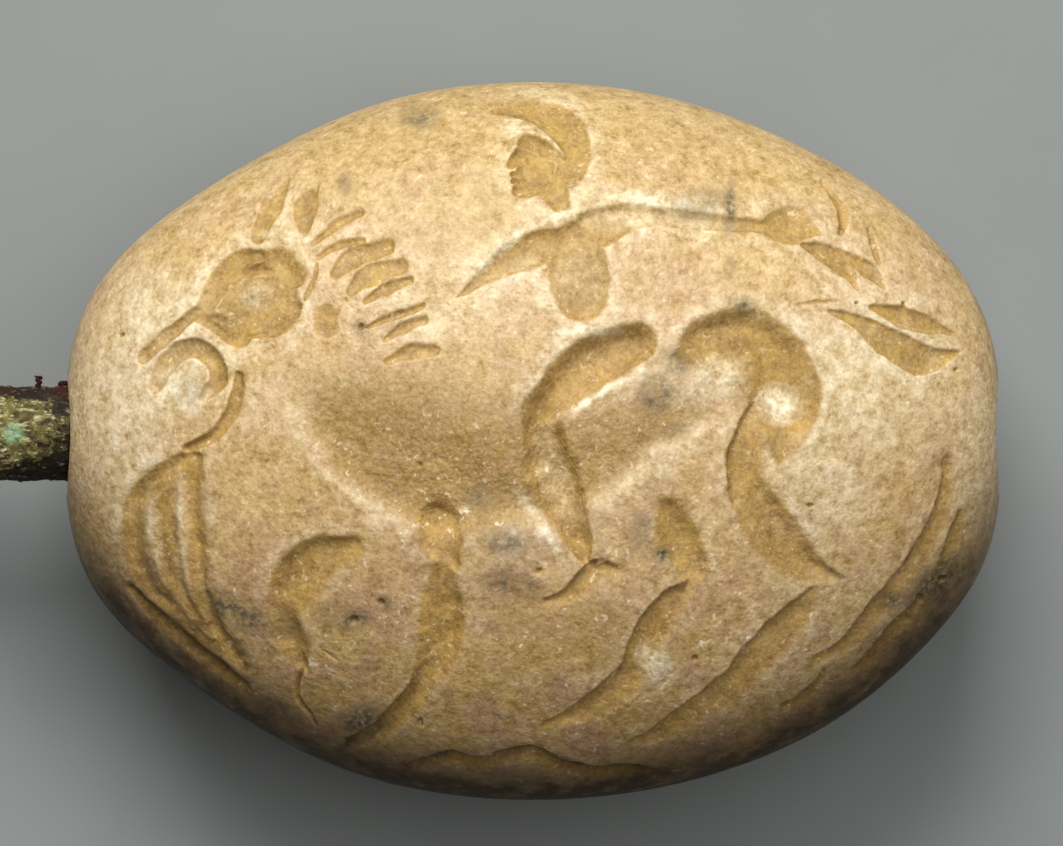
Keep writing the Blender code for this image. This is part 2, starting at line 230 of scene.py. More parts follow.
horse = {
    "trunk": [
        stroke([(-25, 7.5, 1), (-19.3, 2.2, 5.4), (-13, -2, 7.9), (-5, -3, 8.2), (4, -2, 6.4),
            (11, 1.5, 4.4), (18.5, 6, 3.4)], 0.43, -0.45, 2, 1.2, 1, 3),
        stroke([(18.5, 8, 5), (24, 6.5, 5.6)], 0.2, soft=2)],
    "head": [
        stroke([(-28.6, 19.7, 0.8), (-30.6, 19.1, 1.7), (-32.3, 17.4, 2), (-33.7, 15.3, 1.8),
            (-35.1, 13.6, 1.1)], 0.19, -0.2, soft=1, lip=1),
        stroke([(-30.8, 12.9, 2.8), (-28.3, 14.5, 4.4)], 0.21, lip=1.6),
        stroke([(-33, 13.6, 1.5), (-31.2, 16.2, 1.9), (-29.6, 18.2, 1.4)], 0.15, soft=2),
        stroke([(-29.4, 18.4, 1.4), (-27.2, 18.9, 2.2), (-25.4, 17.6, 1.8)], 0.17, 0, 2.2, soft=2),
        stroke([(-35.8, 13.3, 0.8), (-33.2, 12.4, 1.6), (-31, 11.2, 1.8)], 0.18, 0, 2.2, lip=0.9),
        stroke([(-35.6, 13.6, 0.8), (-38.4, 11.3, 1), (-41.2, 8.9, 0.9)], 0.17, 0, 2.4),
        stroke([(-39.8, 5.8, 1), (-39, 7.9, 1.2), (-37.2, 9.6, 1.25), (-35.1, 9.7, 1.2), (-33.5, 8.1, 1.2),
            (-33.3, 6.3, 1.2), (-34.8, 4.5, 0.8)], 0.17, 0, 2.4),
        stroke([(-25.8, 28, 0.2), (-27.6, 25.1, 1.45), (-29.2, 21.5, 0.9)], 0.12, 0, 2.4),
        stroke([(-22.6, 27.4, 0.2), (-24.1, 25, 1.5), (-24.3, 22.2, 0.7)], 0.12, 0, 2.4)],
    "harness": [
        stroke([(-31, 7, 0.6), (-31.3, 4.4, 1), (-32.3, 2.2, 0.9), (-34.2, 0.3, 0.8), (-36.4, -0.9, 0.7)],
            0.18, -0.4, lip=0.7),
        stroke([(-22.9, 18.7, 0.3), (-23.4, 16.6, 0.5), (-24.2, 15, 0.35)], 0.09),
        spot((-21.8, 12.6), (1.5, 2.1), 0.08, 0, 2.4)],
    "legs": [
        stroke([(-10, -8.7, 2.8), (-9.6, -10.5, 2.9), (-8.4, -12.9, 1.3)], 0.25, 0, 2.2, lip=1.3),
        stroke([(-9.7, -13.6, 1.6), (-9.7, -17, 2.8), (-9.8, -19.7, 3.1), (-10.4, -22.4, 2.7),
            (-11.6, -25, 1.6)], 0.27, 0.25, 2, 0.7, 2),
        stroke([(-10.9, -24.4, 1.3), (-12, -26.7, 1.6), (-13.3, -28.3, 1.6), (-15, -29.8, 1.4),
            (-16.6, -31, 1), (-19.8, -32, 0.3)], 0.23, -0.72, soft=1, lip=0.4),
        stroke([(-18.8, -11.3, 1.6), (-22.4, -12.5, 3), (-24.6, -14.6, 3.5), (-26.2, -17.8, 2.5)],
            0.24, -0.35, 2, 0.8, 1, 1.7),
        stroke([(-27, -16, 1.4), (-26.4, -19.4, 2.2), (-25.3, -22, 2), (-24.4, -24, 0.8)],
            0.17, 0.2, soft=2),
        stroke([(24.3, 5, 0.6), (23.5, 1.6, 1.9), (22.7, -2, 2.5), (22.4, -6, 1.8)],
            0.24, -0.72, 2, 0.8, 1, 0.5),
        stroke([(22.6, -3.6, 1.4), (23.8, -7.6, 3.4), (26.4, -11, 3.4), (29.1, -13.4, 2.1),
            (32.6, -14.6, 0.25)], 0.25, 0.3, 2, 0.8, -1, 2.1),
        stroke([(29.5, -15.7, 0.5), (28.1, -18.6, 1.8), (25.7, -21, 2.2), (23.7, -23.2, 2.2),
            (22.2, -25.3, 2.1), (19.8, -27.2, 2), (16.2, -29.3, 1.6), (13, -31.2, 1), (10.3, -31.9, 0.3)],
            0.18, -0.74, soft=1, lip=0.5),
        stroke([(14, -7.2, 1.7), (15, -10.3, 3), (16.9, -13.8, 1.7)], 0.24, 0.3, 2, 0.8, 2),
        stroke([(17.6, -14.7, 0.6), (14.9, -17.2, 1.9), (13, -19.8, 2.2), (11.9, -21.9, 2.2),
            (11, -24.2, 2), (8.8, -26.6, 1.9), (5.2, -28.8, 1.4), (1.2, -30.2, 0.35)],
            0.18, -0.74, soft=1, lip=0.5)],
    "haunch": [
        stroke([(15.7, 9.1, 1.3), (18.6, 10.4, 3.4), (22, 10.6, 4.3), (25.2, 8.9, 4.3), (26.8, 5.8, 4.3),
            (26.9, 2.5, 3.8), (25.9, -1.4, 1.4)], 0.43, 0.22, 2, 1.4, -1, 3)],
    "hooves": [
        stroke([(-24.2, -23.2, 0.35), (-25, -25.5, 0.4), (-24.9, -27.6, 0.4), (-23.6, -29.2, 0.35),
            (-23, -30.1, 0.2)], 0.1)],
    "deeper": [
        stroke([(-31.6, 16, 0.5), (-31, 17.6, 0.8), (-29.5, 18.3, 0.8), (-27.4, 17.8, 0.4)], 0.13, soft=2),
        stroke([(-24.8, 14.4, 0.5), (-25.5, 12.8, 0.9), (-27.3, 11.5, 0.9), (-29.6, 11, 0.4)],
            0.12, soft=2),
        stroke([(-34.4, 12.6, 0.4), (-32.2, 10.8, 0.6)], 0.09, soft=2)],
    "raised": [
        spot((-29.4, 15.8), (1.6, 1.35), 0.14, 20, soft=2),
        stroke([(-33.4, 14.2, 0.3), (-32.2, 16.3, 0.45), (-30.5, 18.3, 0.4), (-28.6, 19.2, 0.2)],
            0.08, soft=2),
        spot((-32.9, 13.5), (1, 0.5), 0.08, -30, soft=2),
        spot((-3.3, -9.6), (5.2, 3.8), 0.14, -20, soft=2),
        spot((13, -23.7), (2.8, 1.9), 0.05, 50, soft=2)],
}

mane = {
    "breadth": 1.45,
    "depth": 0.12,
    # root, middle, tip, half width
    "locks": (
        ((-23.3, 20.9), (-20.9, 22.7), (-18.2, 24.1), 0.52),
        ((-22.7, 19.5), (-20.4, 20.7), (-18, 21.2), 0.46),
        ((-21, 17.6), (-18.8, 19.4), (-15.4, 20.4), 1),
        ((-19.2, 15.8), (-17.3, 17.4), (-13.9, 18.4), 1.05),
        ((-17.6, 14.7), (-15.6, 16), (-12.9, 17), 0.62),
        ((-17.4, 12), (-14.4, 13.3), (-11.5, 14.3), 0.42),
        ((-15.6, 10.8), (-13.6, 12), (-11.4, 12.8), 0.6),
        ((-15.2, 8.4), (-12.9, 9.5), (-10.3, 9.6), 0.74)),
}

tassel = {
    "depth": 0.2,
    "strands": (
        ([(-36.2, -1.4), (-39.3, -3.2), (-41.7, -6), (-42.3, -9.5), (-42, -12.5), (-40.6, -15.6),
            (-38.4, -17.6)], 1.5),
        ([(-35.5, -1.8), (-35.9, -4.2), (-36.2, -6.8), (-35.9, -9.4), (-35.5, -12), (-35.1, -15.6)], 1.4),
        ([(-42.9, -15.4), (-39.4, -18.9), (-35.8, -22), (-32.8, -24.3), (-30.4, -26.1)], 0.9),
        ([(-34.8, -16.2), (-33.8, -19.3), (-32.3, -21.7), (-30.6, -23.9)], 1.1)),
    "body": [
        stroke([(-37, -2.2, 1.2), (-39, -5.5, 3.6), (-39.4, -9.5, 4.4), (-38.8, -13.5, 4.2),
            (-36.8, -17.2, 3.4), (-33.8, -20.8, 2), (-31, -23.8, 0.4)], 0.13, soft=2)],
    "ridges": [
        stroke([(-38.2, -4, 0.3), (-40.1, -6.6, 0.8), (-40.4, -10, 0.9), (-39.7, -13.6, 0.8),
            (-37.2, -17.4, 0.7), (-34.2, -20.9, 0.3)], 0.1, soft=2),
        stroke([(-38.6, -6, 0.2), (-38.8, -9.8, 0.6), (-38.1, -13.4, 0.2)], 0.06, soft=2),
        stroke([(-37.2, -3.4, 0.3), (-37.4, -8, 0.7), (-37.1, -12, 0.8), (-36.4, -15.8, 0.7),
            (-34.6, -19.2, 0.4)], 0.09, soft=2)],
}

tail = {
    "depth": 0.14,
    "strands": (
        ([(43.9, -1.9), (43.9, -4.6), (43.2, -8), (41.5, -11.4), (39.5, -14.4), (37, -17.2), (34.7, -20.2),
            (32.6, -22), (29.9, -23.2)], 1.25),
        ([(45.4, -7.6), (44.8, -10), (43.5, -13)], 0.75),
        ([(40.7, -17.2), (39.2, -18.9), (37.8, -20.6), (36, -22.8), (34.4, -24.1)], 0.8),
        ([(30.9, -24.4), (29.9, -26), (28.6, -27.3), (26.4, -28.1)], 0.6)),
}

rider = {
    "trunk": [
        stroke([(4.5, 20.6, 2.4), (1.2, 20.5, 2.4), (-1.8, 19.4, 2.2), (-4.8, 17.4, 1.4),
            (-7.9, 15.1, 0.2)], 0.25, 0, 2.2, 0.7, lip=1.1),
        stroke([(2, 21, 1.6), (5.6, 21.8, 2.6), (9, 22.8, 1.8)], 0.24, 0, 2.2, lip=1),
        stroke([(4.4, 20.2, 3.6), (4.8, 17.4, 3.9), (5.2, 15, 3.2)], 0.31, -0.1, lip=1.6),
        stroke([(5.4, 23.2, 1.3), (9.3, 23.7, 1.55), (14.6, 23.5, 1.35), (20.1, 23, 1.15),
            (24.9, 22.6, 0.9)], 0.19, 0.2, 2.2, lip=0.7),
        stroke([(25.7, 22.7, 2), (27.2, 22.8, 2.5), (30.4, 22, 0.4)], 0.19, 0, 2.2, lip=0.7)],
    "legs": [
        stroke([(11, 10.4, 2.6), (8, 9.1, 3.4), (4.8, 7, 3.4), (1.5, 3.5, 2.8)],
            0.52, -0.1, 2, 0.4, 0, 1.9),
        stroke([(0.9, 3.4, 2.5), (1.3, -0.6, 2.9), (2.4, -4.2, 3.1), (3.6, -7.6, 2.7), (4.9, -10.8, 1.7),
            (5.7, -12.8, 0.5)], 0.38, 0.2, 2, 0.4, 0, 1.5),
        stroke([(8.8, -13.8, 0.8), (6.7, -13.6, 1.2), (5.3, -15, 1.3), (3.7, -16.5, 1.1), (1, -17, 0.4)],
            0.18, -0.6, soft=1)],
    # a plain head that looks left, under a soft cap with a rolled band. The face is in even
    # thirds from the hair to the brow, to the base of the nose and to the chin
    "head": [
        stroke([(-4.2, 35, 0.5), (-1.2, 35.1, 1.3), (1.6, 34.4, 2), (3.6, 32.7, 2.5), (4.3, 30.3, 2.4),
            (3.9, 28, 1.6)], 0.19, 0, 2.2, lip=0.9),
        stroke([(1, 30.8, 3), (0.8, 27.9, 2.4)], 0.2, 0, 2.4, lip=0.6),
        stroke([(-0.5, 31.5, 1.3), (-0.9, 30.5, 1.3)], 0.2, 0, 2.4, lip=0.5),
        stroke([(-1.2, 30.7, 0.8), (-1.75, 29.9, 0.85), (-2.3, 29.2, 0.62)], 0.21, 0, 2.4, lip=0.35),
        spot((-1.75, 28.2), (0.85, 0.42), 0.19, 0, 2.4, lip=0.3),
        spot((-1.72, 27.45), (0.8, 0.42), 0.18, 0, 2.4, lip=0.3),
        stroke([(-0.6, 28.2, 1.6), (-0.5, 26.9, 1.5)], 0.2, 0, 2.4, lip=0.5),
        spot((-1.25, 26.5), (1.15, 0.9), 0.2, 0, 2.4, lip=0.4),
        stroke([(1.4, 28.6, 2.6), (2.1, 26.6, 2.1), (2.8, 25, 1.4)], 0.18, 0, 2.4, lip=0.9)],
    "raised": [
        stroke([(-4.6, 33.8, 0.4), (-1.2, 33.3, 0.8), (1.6, 32.1, 0.75), (3.3, 30.4, 0.4)], 0.17, soft=2),
        stroke([(-2.2, 31.1, 0.25), (-0.8, 31.15, 0.4), (0.6, 30.6, 0.25)], 0.09, soft=2),
        spot((-1.2, 30.05), (0.8, 0.45), 0.11, -8, soft=2),
        stroke([(1.5, 30, 0.25), (2.4, 29.6, 0.5), (2.2, 28.5, 0.3)], 0.1, soft=2),
        stroke([(-1.9, 27.83, 0.2), (-1.2, 27.75, 0.2)], 0.06, soft=2)],
}

streamers = {
    "depth": 0.16,
    "breadth": 1.15,
    "cords": (
        [(28.6, 20.8, 0.4), (31, 19.8, 1.15), (33.2, 18.2, 1), (34.4, 16.1, 0.2)],
        [(32.4, 20.2, 0.4), (35.4, 18.1, 1), (37.3, 16.1, 0.2)],
        [(35.5, 22.6, 0.2), (36.1, 20.6, 0.45), (36.6, 18.9, 0.3)],
        [(31.4, 13.7, 0.3), (34.6, 12.4, 1), (37.7, 10.4, 1.6), (41.2, 8.5, 1.7), (45, 9.4, 0.3)],
        [(35.8, 14.2, 0.4), (38.9, 13.2, 1.25), (41.3, 12.3, 1.2), (44.4, 11.3, 0.25)],
        [(39.2, 14.6, 0.2), (39.6, 13.2, 0.4)],
        [(30.6, 27.4, 0.2), (32.2, 25.6, 0.6), (32.8, 23.8, 0.75), (32.5, 22, 0.4)]),
}

groundLine = {
    "depth": 0.17,
    "path": [
        (-13.5, -34.6, 0.4), (-9, -33.6, 0.75), (-5.5, -34.3, 0.8), (-2.3, -33.3, 0.9), (0, -33.2, 0.9),
        (3, -34.5, 0.8), (7, -35.2, 0.7), (10, -34.9, 0.65), (13, -35.2, 0.3)],
}

wear = {
    # pits are places and half widths; cracks are thin open lines and their half width
    "pits": (
        (-12, -2.4, 0.4), (0.7, -13.6, 0.45), (-16, -17, 0.5), (-19, -19, 0.6), (14, -12, 0.55),
        (29.2, -6.7, 0.35), (17, -22.8, 0.4), (-12, -29.9, 0.5), (40.5, 7, 0.3), (44.8, 7.6, 0.3),
        (34.3, 14.7, 0.25), (-4.5, 30, 0.4), (-18.1, 12, 0.5), (-43.5, 11.3, 0.3), (-37.2, -20.8, 0.4),
        (41, -16.6, 0.55), (43.4, -14.6, 0.45), (22.4, 14, 0.5), (1.4, 17.8, 0.3), (37.9, -19.6, 0.35)),
    "pitDepth": 0.11,
    "cracks": (
        ([(27.6, 14.3), (30, 14.7), (32.4, 14.8)], 0.42),
        ([(10.5, 22.8), (13.5, 22.4), (15, 21.5), (17.5, 21)], 0.24),
        ([(-22.5, -21.7), (-20.5, -23.3)], 0.2),
        ([(1, 25.5), (3, 25.3)], 0.2)),
    "crackDepth": 0.05,
    # place, radii, turn and strength of grey stains, pale patches, painted sheen and tan places; the thin
    # stains along the ground line are a painted shadow in its groove, and some pale patches are painted
    # highlights
    "stains": (
        (-12, 34.4, 1.9, 1.3, 0, 0.8), (17.6, 25, 2.6, 1.5, 10, 0.6), (20.8, 24.6, 0.6, 2.4, 0, 1),
        (20.8, 18.2, 0.6, 1, 0, 0.6), (15.1, 8.3, 1.5, 1.3, 0, 0.8), (12.9, 5, 1.7, 1.9, 0, 0.9),
        (15.1, 0.8, 1, 0.9, 0, 0.7), (-2, -15.2, 3, 1.3, -15, 1), (-2.8, -10.6, 2.2, 1.4, 0, 0.7),
        (-30.8, -18.2, 4.2, 1.4, -25, 1), (-26.2, -19.4, 1.6, 1.5, 0, 0.8),
        (-18.8, -18.8, 1.7, 1.1, 20, 0.9), (-15.6, -17, 0.8, 0.8, 0, 0.8), (-21.2, -18.2, 1.8, 1.3, 0, 0.5),
        (-18.3, -29.6, 2.4, 1.5, 25, 1), (-17.2, -31.3, 2.2, 0.4, 32, 1), (43, -14.7, 3.4, 1.8, 35, 1),
        (-5.3, -5.9, 1.8, 1.3, 0, 0.8), (-27, -28.4, 2.4, 1, -35, 0.8), (11.5, -9.6, 1.2, 2, 0, 0.6),
        (13.6, -12, 1.1, 0.8, 0, 1), (-24.2, 23.4, 1, 0.7, 0, 0.3), (-19.8, 27.2, 0.9, 0.9, 0, 0.7),
        (-18.1, 11.9, 0.7, 0.9, 0, 0.9), (-36, 5.4, 1.3, 1.6, 0, 0.35), (38, -16.9, 1.2, 1, 30, 0.9),
        # the four thin stains along the ground line, from (-9.5, -33.2) on, are a painted shadow in its
        # groove
        (22.3, 14.2, 1.1, 0.9, 0, 0.8), (-9.5, -33.2, 3, 0.5, 8, 1), (-2.2, -32.8, 2.6, 0.5, 10, 1),
        (3.6, -33.9, 2.8, 0.4, -22, 0.9), (9.8, -34.6, 3, 0.4, -3, 1), (-19.3, -32, 1.5, 0.5, 30, 1),
        (32, -14, 1.2, 0.4, -40, 0.5)),
    "patches": (
        # some of these are painted highlights: on the raised places at (12.9, -23.9), (-29.6, 15.5) and
        # (26.3, 4), and along the arm's upper edge at (12.8, 25.4)
        (12.9, -23.9, 1.5, 2.1, 30, 0.8), (-29.6, 15.5, 1.5, 1.3, 0, 0.4),
        (-37.2, 5.2, 3.1, 2.1, -20, 0.85), (26.3, 4, 2, 1.8, 0, 1), (-17.6, -6.4, 4.6, 0.9, -33, 0.4),
        (13.2, -2.2, 8.5, 1.6, 37, 0.42), (0.7, -8.6, 3.8, 0.7, -55, 0.8), (12.8, 25.4, 6.6, 0.8, -8, 1),
        (2.4, 23.6, 3.6, 0.5, 20, 0.9), (-3.4, 20.2, 5, 0.45, 42, 0.9), (5, 11.5, 3.6, 0.6, 5, 1),
        (7.9, 5.4, 5.4, 0.45, 30, 1), (-34.9, 17.9, 3, 0.5, 55, 0.6), (-26, 21.7, 2.4, 0.6, -10, 0.7),
        (18.8, 6.3, 3.6, 2.2, 25, 0.6), (-1.5, -10.8, 3.5, 2.4, 0, 0.25), (-40.4, -9.8, 0.7, 4.2, 4, 0.45),
        (-37.3, -9.6, 0.6, 5.6, 2, 0.45), (13.5, 23.2, 8, 1.3, -5, 0.42), (4.9, 17.2, 3, 3, 0, 0.22),
        (2.3, -3.6, 1.5, 4.2, 15, 0.34), (-2, 17.6, 4, 1.4, 42, 0.2), (-3.1, -10.6, 0.7, 0.25, 25, 1),
        (-1, -10.9, 0.6, 0.2, -40, 1), (-2, -9.6, 0.6, 0.2, 60, 1), (1, -13, 0.5, 0.25, 10, 1)),
    # broad pale sheen on the crown and bright rims at both ends: painted highlights
    "glows": (
        (35, 7, 8, 8.5, 0, 0.5), (-43, 4, 4, 11, 0, 0.56), (-9, 15, 9, 4.5, 15, 0.26),
        (31, -4, 5, 6, 0, 0.4), (-39, 12, 5, 6, 60, 0.6), (47.5, -1, 2.6, 8, 0, 0.4),
        (-47.5, 3, 2.4, 7, 0, 0.46), (28.5, -20, 9, 5, 32, 0.16), (-26, 4.6, 4.5, 3.5, 0, 0.2)),
    "tans": (
        (-14, 2.5, 9.5, 5.5, -12, 0.75), (0.3, 2.8, 2.6, 1.8, 0, 0.9), (19, 9.8, 5, 1.6, 5, 0.6),
        (-26.5, 18, 1.6, 1.2, 0, 0.5), (5, -20, 9, 3, -10, 0.35), (26, -12, 3.5, 1.6, -40, 0.6)),
}


def lines(group, lean=0.25, soft=0):
    return [stroke(path, group["depth"], lean, soft=soft, widths=[half * 0.5, half, half, half * 0.5])
            for path, half in group["strands"]]


def carvedCuts():
    cuts = horse["head"] + horse["legs"] + horse["haunch"] + horse["harness"] + horse["hooves"]
    cuts += rider["trunk"] + rider["legs"] + rider["head"]
    cuts += lines(tassel, 0, 2) + tassel["body"] + lines(tail, -0.74, 1)
    for root, middle, tip, half in mane["locks"]:
        half *= mane["breadth"]
        cuts.append(stroke([root, middle, tip], mane["depth"], 0.15, 2.6,
                           widths=[half * 0.5, half, half * 0.7]))
    for points in streamers["cords"]:
        broader = [p[2] * streamers["breadth"] for p in points]
        cuts.append(stroke(points, streamers["depth"], 0.15, 2.4, widths=broader))
    cuts.append(stroke(groundLine["path"], groundLine["depth"], 0.8, soft=-1))
    for x, y, half in wear["pits"]:
        cuts.append(spot((x, y), (half * 1.2, half), wear["pitDepth"], x * 37))
    for path, half in wear["cracks"]:
        cuts.append(stroke(path, wear["crackDepth"], widths=[half * 0.5, half, half * 0.5]))
    return cuts


crispCuts = carvedCuts()
raisedDetails = horse["raised"] + rider["raised"] + tassel["ridges"]


def layer(cuts, x, y):
    # depth of strokes cut into each other, a little rounded where they meet, and the gap to the
    # nearest crisp edge in carving units
    total = np.zeros(len(x))
    edge = np.full(len(x), 9.0)
    for cut in cuts:
        near, gap, depth = strokeField(cut, x, y, carving["coarseMargin"])
        total[near] += depth ** carving["joinPower"]
        edge[near] = np.where(np.abs(gap) < np.abs(edge[near]), gap, edge[near])
    return total ** (1 / carving["joinPower"]), edge


def carvedDepth(x, y):
    # depth of all cuts together in millimetres, and the broad hollow's own share of it
    size, reach = carving["broadSize"] / along, carving["broadWobble"]
    flat = np.stack([x, y, np.zeros(len(x))], 1)
    broad = layer(horse["trunk"], x + lumps(flat, size, 25) * reach,
                  y + lumps(flat, size, 26) * reach)[0]
    depth = layer(crispCuts, x, y)[0] + broad + layer(horse["deeper"], x, y)[0]
    depth -= layer(raisedDetails, x, y)[0]
    return np.maximum(depth, -carving["proudest"]), broad


def wobbled(p):
    size, chip = carving["wobbleSize"], carving["chipSize"]
    wobble, chipping = carving["wobble"], carving["chipping"]
    plainX, plainY = p[:, 0] / along, p[:, 1] / across
    x = plainX + lumps(p, size, 21) * wobble + lumps(p, chip, 23) * chipping
    y = plainY + lumps(p, size, 22) * wobble + lumps(p, chip, 24) * chipping
    cx, cy = carving["calmPlace"]
    away = np.hypot(plainX - cx, plainY - cy) / carving["calmReach"]
    calm = np.clip(2 - away, 0, 1) * carving["calmShare"]
    return x + (plainX - x) * calm, y + (plainY - y) * calm


def corners(x, y, depth, reach):
    # how much deeper a place is cut than a ring around it: above 0 in nooks, below 0 on lips
    ring = np.zeros(len(x))
    turns = carving["ringPlaces"]
    for k in range(turns):
        dx = reach * math.cos(math.tau * k / turns)
        dy = reach * math.sin(math.tau * k / turns)
        ring += carvedDepth(x + dx, y + dy)[0] / turns
    return depth - ring


def patches(places, x, y):
    total = np.zeros(len(x))
    for px, py, rx, ry, turn, strength in places:
        c, s = math.cos(math.radians(turn)), math.sin(math.radians(turn))
        dx, dy = x - px, y - py
        u = np.hypot((dx * c + dy * s) / rx, (dy * c - dx * s) / ry)
        total = np.maximum(total, strength * np.clip(1.5 - u, 0, 1))
    return total


def refine(bm, margin, inside):
    bm.verts.ensure_lookup_table()
    bm.verts.index_update()
    p = np.array([v.co for v in bm.verts])
    edge = layer(crispCuts, *wobbled(p))[1]
    wanted = (edge < margin if inside else np.abs(edge) < margin) & (p[:, 2] > 0)
    edges = [e for e in bm.edges if wanted[e.verts[0].index] and wanted[e.verts[1].index]]
    bmesh.ops.subdivide_edges(bm, edges=edges, cuts=1, use_grid_fill=True, use_single_edge=True)


def meshFrom(bm, name):
    mesh = bpy.data.meshes.new(name)
    bm.to_mesh(mesh)
    bm.free()
    return mesh


def addObject(name, data):
    obj = bpy.data.objects.new(name, data)
    scene.collection.objects.link(obj)
    return obj


def ringsAlong(bm, stations, sides):
    # rings of points around the bore's axis, one for each place along it and its radius
    y, z = stone["boreOffset"], stone["restDepth"]
    turns = [math.tau * k / sides for k in range(sides)]
    return [[bm.verts.new((x, y + r * math.cos(turn), z + r * math.sin(turn))) for turn in turns]
            for x, r in stations]


def stoneBlank():
    # the uncarved stone, with a finer mesh where the cuts come
    cells = stone["gridCells"]
    low = cells // 2
    bm = bmesh.new()
    upper = [bm.verts.new(p) for p in skin(cells, True)]
    bottom = skin(low, False)
    at = lambda i, j: upper[i * (cells + 1) + j]
    for i, j in np.ndindex(cells, cells):
        bm.faces.new((at(i, j), at(i + 1, j), at(i + 1, j + 1), at(i, j + 1)))
    lower = {}
    for i, j in np.ndindex(low + 1, low + 1):
        onRim = i in (0, low) or j in (0, low)
        lower[i, j] = at(2 * i, 2 * j) if onRim else bm.verts.new(bottom[i * (low + 1) + j])
    for i, j in np.ndindex(low, low):
        loop = []
        square = [(i, j), (i, j + 1), (i + 1, j + 1), (i + 1, j)]
        for a, b in zip(square, square[1:] + square[:1]):
            loop.append(lower[a])
            if a[0] == b[0] in (0, low) or a[1] == b[1] in (0, low):
                loop.append(at(a[0] + b[0], a[1] + b[1]))
        bm.faces.new(loop)
    refine(bm, carving["coarseMargin"], True)
    refine(bm, carving["fineMargin"], False)
    return meshFrom(bm, "seal_stone_body")


# what the stone's vertices hold, for its material
marks = ("cutDepth", "broadCut", "nook", "basin", "stain", "pale", "tan", "glow")


def carveStone(mesh):
    p = np.zeros(len(mesh.vertices) * 3, np.float32)
    mesh.vertices.foreach_get("co", p)
    p = p.reshape(-1, 3).astype(float)
    p /= stoneNorm(p)[:, None]
    isTop = p[:, 2] > 0
    normals = stoneNormals(p)
    x, y = wobbled(p)
    depth, broad = carvedDepth(x, y)
    values = [np.maximum(depth, 0), broad]
    values += [corners(x, y, depth, carving[reach]) for reach in ("nookReach", "basinReach")]
    values += [patches(wear[group], p[:, 0] / along, p[:, 1] / across)
               for group in ("stains", "patches", "tans", "glows")]
    for name, numbers in zip(marks, values):
        kept = mesh.attributes.new(name, "FLOAT", "POINT")
        kept.data.foreach_set("value", (numbers * isTop).astype(np.float32))

    depth = depth * (1 + carving["unevenFloor"] * lumps(p, carving["floorSize"], 31)) * isTop
    size, full = carving["roughSize"], carving["broadFull"]
    rough = lumps(p, size, 32) + 0.6 * lumps(p, size * 0.5, 33)
    depth += np.minimum(broad, full) / full * carving["broadRough"] * rough * isTop
    size, height = stone["undulationSize"], stone["undulation"]
    wave = lumps(p, size, stone["seed"]) * height
    wave += lumps(p, size / 3, stone["seed"] + 1) * height / 3
    fade = np.clip(p[:, 2] / stone["crownRise"] * 4, 0, 1)
    p = p - normals * (depth * millimetre - wave * fade)[:, None]
    p[:, 2] = np.maximum(p[:, 2], -stone["restDepth"]) + stone["restDepth"]
    mesh.vertices.foreach_set("co", p.astype(np.float32).reshape(-1))
    mesh.update()


def applyModifiers(obj):
    bpy.context.view_layer.update()
    graph = bpy.context.evaluated_depsgraph_get()
    baked = bpy.data.meshes.new_from_object(obj.evaluated_get(graph))
    obj.modifiers.clear()
    old = obj.data
    obj.data = baked
    bpy.data.meshes.remove(old)


def drillBore(obj):
    # the bore, with its mouths rounded by wear
    bm = bmesh.new()
    radius, flare, sides = stone["boreDiameter"] / 2, stone["mouthFlare"], stone["boreSides"]
    mouth = ((-stone["drillOverrun"], 1.5), (flare * 0.2, 1), (flare * 1.5, 0.25), (flare * 4, 0))
    left = [(inwards - halfLength, radius + flare * wider) for inwards, wider in mouth]
    rings = ringsAlong(bm, left + [(-x, r) for x, r in reversed(left)], sides)
    for first, second in zip(rings, rings[1:]):
        for k in range(sides):
            bm.faces.new((first[k], first[(k + 1) % sides], second[(k + 1) % sides], second[k]))
    bm.faces.new(rings[0])
    bm.faces.new(rings[-1])
    bmesh.ops.recalc_face_normals(bm, faces=bm.faces)
    drill = addObject("bore_drill", meshFrom(bm, "bore_drill"))
    cut = obj.modifiers.new("bore", "BOOLEAN")
    cut.operation = "DIFFERENCE"
    cut.object = drill
    cut.solver = "EXACT"
    applyModifiers(obj)
    bpy.data.objects.remove(drill)


# Node trees. A socket among the inputs is linked, and anything else is set as a plain value. The
# helpers build in the tree that their sockets belong to
def isSocket(value):
    return isinstance(value, bpy.types.NodeSocket)


def addNode(tree, kind, inputs=None, **settings):
    made = tree.nodes.new(kind)
    for name, value in settings.items():
        setattr(made, name, value)
    for name, value in (inputs or {}).items():
        if isSocket(value):
            tree.links.new(value, made.inputs[name])
        else:
            made.inputs[name].default_value = value
    return made


def calc(operation, first, second=0.0, clamp=False):
    tree = (first if isSocket(first) else second).id_data
    return addNode(tree, "ShaderNodeMath", {0: first, 1: second}, operation=operation,
                   use_clamp=clamp).outputs[0]


def times(first, *others):
    for other in others:
        first = calc("MULTIPLY", first, other)
    return first


def plus(first, *others):
    for other in others:
        first = calc("ADD", first, other)
    return first


def spread(value, low, high, toLow=0.0, toHigh=1.0, smooth=False):
    made = addNode(value.id_data, "ShaderNodeMapRange",
                   {"Value": value, "From Min": low, "From Max": high, "To Min": toLow, "To Max": toHigh})
    made.interpolation_type = "SMOOTHSTEP" if smooth else "LINEAR"
    return made.outputs[0]


def noiseNode(place, scale, **inputs):
    return addNode(place.id_data, "ShaderNodeTexNoise", {"Vector": place, "Scale": scale, **inputs},
                   noise_dimensions="4D")


def noise(place, size, detail=2.0, rough=0.5, shift=0.0, distortion=0.0):
    return noiseNode(place, 1 / size, Detail=detail, Roughness=rough, W=shift,
                     Distortion=distortion).outputs[0]


